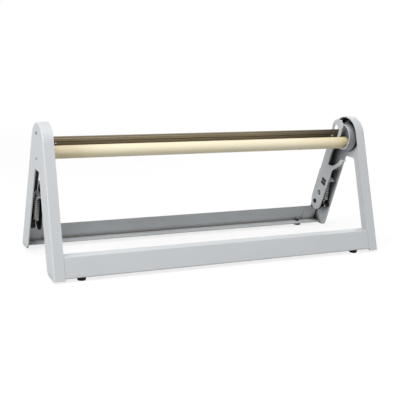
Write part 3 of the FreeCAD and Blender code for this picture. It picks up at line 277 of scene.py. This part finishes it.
# painted shade: the plating's colour darkens in the corners
corner_shaded = add_node(tree, "Mix", {
    "Factor": recess(tree, 0.004, 0.85, 0.35), colour_a: tone.outputs[blended],
    colour_b: linear("#1B1B1C")}, data_type="RGBA")
gloss = add_node(tree, "MapRange", {
    "Value": blotch.outputs["Fac"], "From Min": 0.3, "From Max": 0.7,
    "To Min": 0.28, "To Max": 0.42})
surface = add_node(tree, "BsdfPrincipled", {
    "Base Color": corner_shaded.outputs[blended], "Metallic": 0.9, "Roughness": gloss.outputs["Result"]})
add_node(tree, "OutputMaterial", {"Surface": surface.outputs["BSDF"]})
give_finish(bright_zinc, ["foot_screws", "blade_nuts", "bar_end_screws", "bar_end_nuts",
                          "arm_rivets"])


# Screws of the roller cups: countersunk socket screws from outside, flush
# with the end frame's face.  The upper one is larger and dull zinc plated, and
# the lower one is blackened; the upper one's socket is painted near black as shade.
def loop_of(shape, verts):
    """The edges that join the given vertices."""
    verts = set(verts)
    return [edge for edge in shape.edges if edge.verts[0] in verts and edge.verts[1] in verts]


def step_out(shape, edges, drop, scale):
    """Extrude a ring of edges along Z and scale it about the axis; gives the new ring."""
    made = bmesh.ops.extrude_edge_only(shape, edges=edges)["geom"]
    verts = [item for item in made if isinstance(item, bmesh.types.BMVert)]
    bmesh.ops.translate(shape, verts=verts, vec=(0.0, 0.0, drop))
    bmesh.ops.scale(shape, verts=verts, vec=(scale, scale, 1.0))
    return loop_of(shape, verts)


def socket_screw(shape, face, socket, depth, rises, shank, length):
    """A screw on -Z, its face at Z 0: hexagon socket, then rings of (drop, radius), then shank."""
    ring = bmesh.ops.create_circle(shape, segments=32, radius=face)["verts"]
    hexagon = bmesh.ops.create_circle(shape, segments=6, radius=socket)["verts"]
    outer, inner = loop_of(shape, ring), loop_of(shape, hexagon)
    bmesh.ops.bridge_loops(shape, edges=outer + inner)
    socket_taper = 0.96
    floor_ring = step_out(shape, inner, -depth, socket_taper)
    bmesh.ops.edgeloop_fill(shape, edges=floor_ring)
    radius = face
    for drop, new_radius in rises:
        outer = step_out(shape, outer, drop, new_radius / radius)
        radius = new_radius
    outer = step_out(shape, outer, 0.0, shank / radius)
    outer = step_out(shape, outer, -length, 1.0)
    bmesh.ops.edgeloop_fill(shape, edges=outer)


def finish_piece(shape, name, material, body, replaced=(), smooth=False):
    """Merge, face outwards and turn a bmesh into a piece that rides on a body."""
    bmesh.ops.remove_doubles(shape, verts=shape.verts, dist=1e-7)
    bmesh.ops.recalc_face_normals(shape, faces=shape.faces)
    for face in shape.faces:
        face.smooth = smooth
    mesh = bpy.data.meshes.new(name)
    shape.to_mesh(mesh)
    shape.free()
    mesh.materials.append(material)
    piece = bpy.data.objects.new(name, mesh)
    bpy.context.scene.collection.objects.link(piece)
    if body:
        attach(piece, body)
    if replaced:
        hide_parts(*replaced)
    return piece


def aim_outward(shape, verts, side, x, y, z):
    """Turn geometry made on Z so that its head faces along X, and put it in place."""
    turn = Matrix.Rotation(radians(90.0) * side, 4, "Y")
    bmesh.ops.transform(shape, matrix=Matrix.Translation((x, y, z)) @ turn, verts=verts)


frame_face, cup_screw_y = 0.350, 0.005
cup_screw_length, cup_socket_depth = 0.0045, 0.0016
dull_zinc, tree = new_material("dull_zinc_plate")
place = add_node(tree, "TexCoord").outputs["Object"]
# blotches drawn at 2.5 mm, about a pixel, where the real ones are finer
blotch = add_node(tree, "TexNoise", {"Vector": place, "Scale": 400.0, "Detail": 3.0})
tone = add_node(tree, "Mix", {
    "Factor": blotch.outputs["Fac"], colour_a: linear("#23272B"), colour_b: linear("#3B4046")},
    data_type="RGBA")
# the flush head ends at the frame's face, so all that lies deeper is socket
across = add_node(tree, "SeparateXYZ", {"Vector": place}).outputs["X"]
deep = add_node(tree, "Math", {0: across}, operation="ABSOLUTE")
# painted shade: the socket is painted near black
socket_shade = add_node(tree, "MapRange", {
    "Value": deep.outputs["Value"], "From Min": frame_face - 0.0001,
    "From Max": frame_face - 0.0005, "To Min": 0.0, "To Max": 1.0})
head_tone = add_node(tree, "Mix", {
    "Factor": socket_shade.outputs["Result"], colour_a: tone.outputs[blended],
    colour_b: linear("#0A0A0A")}, data_type="RGBA")
surface = add_node(tree, "BsdfPrincipled", {
    "Base Color": head_tone.outputs[blended], "Metallic": 0.15, "Roughness": 0.50,
    "Specular IOR Level": 0.25})
add_node(tree, "OutputMaterial", {"Surface": surface.outputs["BSDF"]})

for name, node, height, head, shank, socket, finish in (
    ("upper_cup_screw_pair", "cup_upper_screws", 0.250, 0.0038, 0.0021, 0.0019, dull_zinc),
    ("lower_cup_screw_pair", "cup_lower_screws", 0.202, 0.0030, 0.0015, 0.0014, black_oxide),
):
    shape = bmesh.new()
    for side in sides.values():
        before = set(shape.verts)
        socket_screw(shape, face=head, socket=socket, depth=cup_socket_depth,
                     rises=[(shank - head, shank)], shank=shank, length=cup_screw_length)
        verts = [vert for vert in shape.verts if vert not in before]
        aim_outward(shape, verts, side, side * frame_face, cup_screw_y, height)
    piece = finish_piece(shape, name, finish, "frame", [node])

# Pivot screws: blackened button heads with a hexagon socket, on the inner
# face of each arm, over the end of the pivot post.
button_face = 0.3205
for side_name, side in sides.items():
    shape = bmesh.new()
    low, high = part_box(f"{side_name}_pivot_screw")
    crown = [(-0.0003, 0.0037), (-0.0006, 0.0047), (-0.0007, 0.0053), (-0.0006, 0.0055)]
    socket_screw(shape, face=0.0026, socket=0.0019, depth=0.0015, rises=crown,
                 shank=0.0025, length=0.0119)
    middle_y, middle_z = (low[1] + high[1]) / 2, (low[2] + high[2]) / 2
    aim_outward(shape, shape.verts[:], -side, side * button_face, middle_y, middle_z)
    piece = finish_piece(shape, f"{side_name}_pivot_button_screw", black_oxide, "frame",
                         [f"{side_name}_pivot_screw"])

# Blade studs: two domed zinc plated screws that clamp the strip and the blade
# to the bar, near its ends, square to the bar's leaning face.
lean = radians(19.6)
stud_x, stud_radius = 0.310, 0.0030
shape = bmesh.new()
low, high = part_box("blade_screws")
for side in sides.values():
    before = set(shape.verts)
    crown = [(-0.0003, 0.0019), (-0.0005, 0.0025), (-0.0007, 0.0029), (-0.0011, 0.0030)]
    socket_screw(shape, face=0.0014, socket=0.0010, depth=0.0011, rises=crown,
                 shank=0.0020, length=0.0078)
    verts = [vert for vert in shape.verts if vert not in before]
    head_y = low[1] + stud_radius * sin(lean)
    head_z = high[2] - stud_radius * cos(lean)
    stand = (Matrix.Translation((side * stud_x, head_y, head_z))
             @ Matrix.Rotation(radians(90.0) + lean, 4, "X"))
    bmesh.ops.transform(shape, matrix=stand, verts=verts)
studs = finish_piece(shape, "blade_stud_pair", bright_zinc, "cutter_frame", ["blade_screws"])

# Roller cups: pressed from steel sheet and zinc plated.  The plating is a
# dull blue grey in clouds of 17 mm, and the hollow is painted dark as shade.
pressed_zinc, tree = new_material("pressed_zinc_plate")
place = add_node(tree, "TexCoord").outputs["Object"]
cloud = add_node(tree, "TexNoise", {"Vector": place, "Scale": 60.0, "Detail": 4.0})
tone = add_node(tree, "Mix", {
    "Factor": cloud.outputs["Fac"], colour_a: linear("#84878C"), colour_b: linear("#A4A7AC")},
    data_type="RGBA")
# painted shade: the hollow of the cup darkens
recess_shaded = add_node(tree, "Mix", {
    "Factor": recess(tree, 0.020, 0.72, 0.25), colour_a: tone.outputs[blended],
    colour_b: linear("#2A2621")}, data_type="RGBA")
# a painted highlight on the cut edge of the mouth, 326 mm out from the middle
rim_back, rim_front = 0.3268, 0.3262
across = add_node(tree, "SeparateXYZ", {"Vector": place}).outputs["X"]
outward = add_node(tree, "Math", {0: across}, operation="ABSOLUTE")
rim_highlight = add_node(tree, "MapRange", {
    "Value": outward.outputs["Value"], "From Min": rim_back, "From Max": rim_front,
    "To Min": 0.0, "To Max": 1.0})
plated = add_node(tree, "Mix", {
    "Factor": rim_highlight.outputs["Result"], colour_a: recess_shaded.outputs[blended],
    colour_b: linear("#E4E6EA")}, data_type="RGBA")
gloss = add_node(tree, "MapRange", {
    "Value": cloud.outputs["Fac"], "From Min": 0.3, "From Max": 0.7,
    "To Min": 0.42, "To Max": 0.56})
surface = add_node(tree, "BsdfPrincipled", {
    "Base Color": plated.outputs[blended], "Metallic": 0.40, "Roughness": gloss.outputs["Result"]})
add_node(tree, "OutputMaterial", {"Surface": surface.outputs["BSDF"]})
give_finish(pressed_zinc, ["left_roller_cup", "right_roller_cup"])

# Springs: extension springs of bright drawn wire, 10.75 open turns.  The
# lower end is a long hook round the anchor pin, and the upper end a loop
# through the hole of the arm's tab.
drawn_wire, tree = new_material("drawn_spring_wire")
place = add_node(tree, "TexCoord").outputs["Object"]
# drawing marks 1.1 mm across, about the wire's own width
streak = add_node(tree, "TexNoise", {"Vector": place, "Scale": 900.0, "Detail": 2.0})
tone = add_node(tree, "Mix", {
    "Factor": streak.outputs["Fac"], colour_a: linear("#EAEAE6"), colour_b: linear("#FAFAF6")},
    data_type="RGBA")
surface = add_node(tree, "BsdfPrincipled", {
    "Base Color": tone.outputs[blended], "Metallic": 0.25, "Roughness": 0.36})
add_node(tree, "OutputMaterial", {"Surface": surface.outputs["BSDF"]})

# radii of the wire and of the bends, then heights above the anchor pin
wire, coil, hook, eye = 0.0006, 0.0050, 0.0032, 0.0050
coil_low, coil_high, eye_height = 0.014, 0.058, 0.0696
hook_drop, eye_rise = 0.0020, 0.0016
turns, steps_per_turn = 10.75, 16
spring_lean = radians(7.8)
anchor_x, anchor_y, anchor_z = 0.336, 0.06637, 0.05451


def bend(shape, ring, centre, axis, angle, steps, climb=0.0):
    """Sweep a ring of edges about an axis, climbing along Z; gives the ring at the far end."""
    swept = bmesh.ops.spin(shape, geom=ring, cent=centre, axis=axis, angle=angle, steps=steps,
                           dvec=(0.0, 0.0, climb / steps), use_duplicate=False)["geom_last"]
    return loop_of(shape, [item for item in swept if isinstance(item, bmesh.types.BMVert)])


def run_on(shape, ring, along):
    """Extrude a ring of edges straight; gives the new ring."""
    made = bmesh.ops.extrude_edge_only(shape, edges=ring)["geom"]
    verts = [item for item in made if isinstance(item, bmesh.types.BMVert)]
    bmesh.ops.translate(shape, verts=verts, vec=along)
    return loop_of(shape, verts)


for side_name, side in sides.items():
    shape = bmesh.new()
    section = Matrix.Translation((coil, 0.0, coil_low)) @ Matrix.Rotation(radians(90.0), 4, "X")
    start = bmesh.ops.create_circle(shape, segments=8, radius=wire, matrix=section)["verts"]
    first = loop_of(shape, start)
    # upwards: the coil, half a turn in to the axis, and the eye
    ring = bend(shape, first, (0, 0, 0), (0, 0, 1), angle=2 * pi * turns,
                steps=int(turns * steps_per_turn), climb=coil_high - coil_low)
    ring = bend(shape, ring, (0, -coil / 2, 0), (0, 0, 1), angle=pi, steps=10, climb=eye_rise)
    eye_foot = coil_high + eye_rise
    ring = bend(shape, ring, (0, 0, eye_foot + eye), (0, 1, 0), angle=pi / 2, steps=6)
    ring = run_on(shape, ring, (0, 0, eye_height - eye_foot - eye))
    ring = bend(shape, ring, (0, 0, eye_height), (0, 1, 0), angle=radians(255), steps=16)
    bmesh.ops.edgeloop_fill(shape, edges=ring)
    # downwards: half a turn in to the axis, and the hook
    ring = bend(shape, first, (coil / 2, 0, 0), (0, 0, 1), angle=-pi, steps=10, climb=-hook_drop)
    hook_head = coil_low - hook_drop
    ring = bend(shape, ring, (0, 0, hook_head - hook), (1, 0, 0), angle=-pi / 2, steps=6)
    ring = run_on(shape, ring, (0, 0, hook - hook_head))
    ring = bend(shape, ring, (0, 0, 0), (1, 0, 0), angle=-radians(235), steps=14)
    bmesh.ops.edgeloop_fill(shape, edges=ring)
    if side > 0:
        bmesh.ops.scale(shape, verts=shape.verts, vec=(-1, 1, 1))
    stand = (Matrix.Translation((side * anchor_x, anchor_y, anchor_z))
             @ Matrix.Rotation(spring_lean, 4, "X"))
    bmesh.ops.transform(shape, matrix=stand, verts=shape.verts)
    piece = finish_piece(shape, f"{side_name}_wound_spring", drawn_wire, body=None,
                         replaced=[f"{side_name}_spring"], smooth=True)
    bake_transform(piece)

# Backing plates of the arms: black nylon, moulded, with a fine matt grain.
# Their square plugs fill the arms' windows and carry a low cross of two ribs.
nylon, tree = new_material("moulded_nylon")
place = add_node(tree, "TexCoord").outputs["Object"]
# drawn at 1.1 mm, because the real grain of 0.1 mm is finer than a pixel
grain = add_node(tree, "TexNoise", {"Vector": place, "Scale": 900.0, "Detail": 2.0})
tone = add_node(tree, "Mix", {
    "Factor": grain.outputs["Fac"], colour_a: linear("#050506"), colour_b: linear("#101012")},
    data_type="RGBA")
relief = add_node(tree, "Bump", {
    "Height": grain.outputs["Fac"], "Strength": 0.2, "Distance": 0.0002})
surface = add_node(tree, "BsdfPrincipled", {
    "Base Color": tone.outputs[blended], "Roughness": 0.70, "Normal": relief.outputs["Normal"],
    "IOR": 1.53, "Specular IOR Level": 0.15})
add_node(tree, "OutputMaterial", {"Surface": surface.outputs["BSDF"]})
give_finish(nylon, ["left_arm_backing", "right_arm_backing"])

# Ribs of the plugs: a low cross on the face of each square plug, moulded with
# it and rubbed pale where it stands proud of the arm.
rubbed_nylon, tree = new_material("rubbed_nylon")
place = add_node(tree, "TexCoord").outputs["Object"]
# scuffs of 2 mm, drawn a little wider than the 1.4 mm ribs
rub = add_node(tree, "TexNoise", {"Vector": place, "Scale": 500.0, "Detail": 2.0})
tone = add_node(tree, "Mix", {
    "Factor": rub.outputs["Fac"], colour_a: linear("#80807B"), colour_b: linear("#A5A5A0")},
    data_type="RGBA")
surface = add_node(tree, "BsdfPrincipled", {
    "Base Color": tone.outputs[blended], "Roughness": 0.6, "IOR": 1.53, "Specular IOR Level": 0.3})
add_node(tree, "OutputMaterial", {"Surface": surface.outputs["BSDF"]})

pivot_y, pivot_z = 0.085819, 0.0625
plug_along, plug_fore, plug_face = 0.0584, 0.0095, 0.32295
rib_length, rib_width, rib_height, rib_bevel = 0.0145, 0.0014, 0.0003, 0.0001
for side_name, side in sides.items():
    shape = bmesh.new()
    for wide, long in ((rib_width, rib_length), (rib_length, rib_width)):
        verts = bmesh.ops.create_cube(shape, size=1.0)["verts"]
        bmesh.ops.scale(shape, verts=verts, vec=(rib_height, wide, long))
    bmesh.ops.bevel(shape, geom=shape.edges[:], offset=rib_bevel, offset_type="OFFSET", segments=1,
                    profile=0.5, affect="EDGES", material=-1, clamp_overlap=True)
    y = pivot_y - plug_along * sin(lean) - plug_fore * cos(lean)
    z = pivot_z + plug_along * cos(lean) - plug_fore * sin(lean)
    stand = Matrix.Translation((side * plug_face, y, z)) @ Matrix.Rotation(lean, 4, "X")
    bmesh.ops.transform(shape, matrix=stand, verts=shape.verts)
    piece = finish_piece(shape, f"{side_name}_plug_ribs", rubbed_nylon, "cutter_frame")

# Roller: a beech dowel, sanded and left bare.  The grain runs along it in
# pale streaks about 2 mm wide with short darker flecks, and both ends are
# painted darker and yellower as shade.  Its ferrules are thin turned steel caps.
beech, tree = new_material("sanded_beech")
place = add_node(tree, "TexCoord").outputs["Object"]
along = add_node(tree, "Mapping", {"Vector": place, "Scale": (4.0, 260.0, 260.0)})
streak = add_node(tree, "TexNoise", {
    "Vector": along.outputs["Vector"], "Scale": 1.0, "Detail": 4.0, "Roughness": 0.6})
# flecks 6 mm long and 0.7 mm wide
fleck_place = add_node(tree, "Mapping", {"Vector": place, "Scale": (160.0, 1500.0, 1500.0)})
fleck = add_node(tree, "TexNoise", {
    "Vector": fleck_place.outputs["Vector"], "Scale": 1.0, "Detail": 2.0})
tone = add_node(tree, "Mix", {
    "Factor": streak.outputs["Fac"], colour_a: linear("#ECDFBA"), colour_b: linear("#F9F1DA")},
    data_type="RGBA")
dark = add_node(tree, "MapRange", {
    "Value": fleck.outputs["Fac"], "From Min": 0.6, "From Max": 0.75,
    "To Min": 0.0, "To Max": 0.3})
wood = add_node(tree, "Mix", {
    "Factor": dark.outputs["Result"], colour_a: tone.outputs[blended],
    colour_b: linear("#C9B588")}, data_type="RGBA")
across = add_node(tree, "SeparateXYZ", {"Vector": place}).outputs["X"]
outward = add_node(tree, "Math", {0: across}, operation="ABSOLUTE")
# painted shade: the wood darkens towards both ends
wood_end_shade = add_node(tree, "MapRange", {
    "Value": outward.outputs["Value"], "From Min": 0.20, "From Max": 0.335,
    "To Min": 0.0, "To Max": 0.55})
wood_end_shaded = add_node(tree, "Mix", {
    "Factor": wood_end_shade.outputs["Result"], colour_a: wood.outputs[blended],
    colour_b: linear("#DFCA96")}, data_type="RGBA")
relief = add_node(tree, "Bump", {
    "Height": streak.outputs["Fac"], "Strength": 0.15, "Distance": 0.0003})
surface = add_node(tree, "BsdfPrincipled", {
    "Base Color": wood_end_shaded.outputs[blended], "Roughness": 0.55, "Normal": relief.outputs["Normal"],
    "IOR": 1.5, "Specular IOR Level": 0.3})
add_node(tree, "OutputMaterial", {"Surface": surface.outputs["BSDF"]})
give_finish(beech, ["roller_dowel"])

ferrule_steel, tree = new_material("turned_steel")
place = add_node(tree, "TexCoord").outputs["Object"]
# turning marks, 0.4 mm apart along the ferrule
rings = add_node(tree, "Mapping", {"Vector": place, "Scale": (2500.0, 20.0, 20.0)})
mark = add_node(tree, "TexNoise", {
    "Vector": rings.outputs["Vector"], "Scale": 1.0, "Detail": 2.0})
tone = add_node(tree, "Mix", {
    "Factor": mark.outputs["Fac"], colour_a: linear("#8C8D8E"), colour_b: linear("#B5B6B6")},
    data_type="RGBA")
surface = add_node(tree, "BsdfPrincipled", {
    "Base Color": tone.outputs[blended], "Metallic": 1.0, "Roughness": 0.34})
add_node(tree, "OutputMaterial", {"Surface": surface.outputs["BSDF"]})
give_finish(ferrule_steel, ["left_roller_ferrule", "right_roller_ferrule"])

# Cutter bar, blade and clamp strip: oil-blackened spring steel, rolled and
# ground lengthways, so it shows long brown-grey streaks 2 mm wide.  The colour
# is painted darker towards the right end and in the grooves, a painted shade.
oiled_steel, tree = new_material("oil_blackened_steel")
place = add_node(tree, "TexCoord").outputs["Object"]
along = add_node(tree, "Mapping", {"Vector": place, "Scale": (3.0, 500.0, 500.0)})
streak = add_node(tree, "TexNoise", {
    "Vector": along.outputs["Vector"], "Scale": 1.0, "Detail": 4.0, "Roughness": 0.6})
tone = add_node(tree, "Mix", {
    "Factor": streak.outputs["Fac"], colour_a: linear("#6E6554"), colour_b: linear("#9F947E")},
    data_type="RGBA")
across = add_node(tree, "SeparateXYZ", {"Vector": place}).outputs["X"]
# painted shade: darker towards the right end
bar_end_shade = add_node(tree, "MapRange", {
    "Value": across, "From Min": 0.10, "From Max": 0.32, "To Min": 0.0, "To Max": 0.80})
bar_end_shaded = add_node(tree, "Mix", {
    "Factor": bar_end_shade.outputs["Result"], colour_a: tone.outputs[blended],
    colour_b: linear("#3E3930")}, data_type="RGBA")
# painted shade: darker in the grooves and corners
recess_shaded = add_node(tree, "Mix", {
    "Factor": recess(tree, 0.006, 0.80, 0.35), colour_a: bar_end_shaded.outputs[blended],
    colour_b: linear("#15130F")}, data_type="RGBA")
gloss = add_node(tree, "MapRange", {
    "Value": streak.outputs["Fac"], "From Min": 0.3, "From Max": 0.7,
    "To Min": 0.38, "To Max": 0.52})
surface = add_node(tree, "BsdfPrincipled", {
    "Base Color": recess_shaded.outputs[blended], "Metallic": 0.6, "Roughness": gloss.outputs["Result"]})
add_node(tree, "OutputMaterial", {"Surface": surface.outputs["BSDF"]})
give_finish(oiled_steel, ["cutter_bar", "cutter_blade", "blade_clamp_strip"])
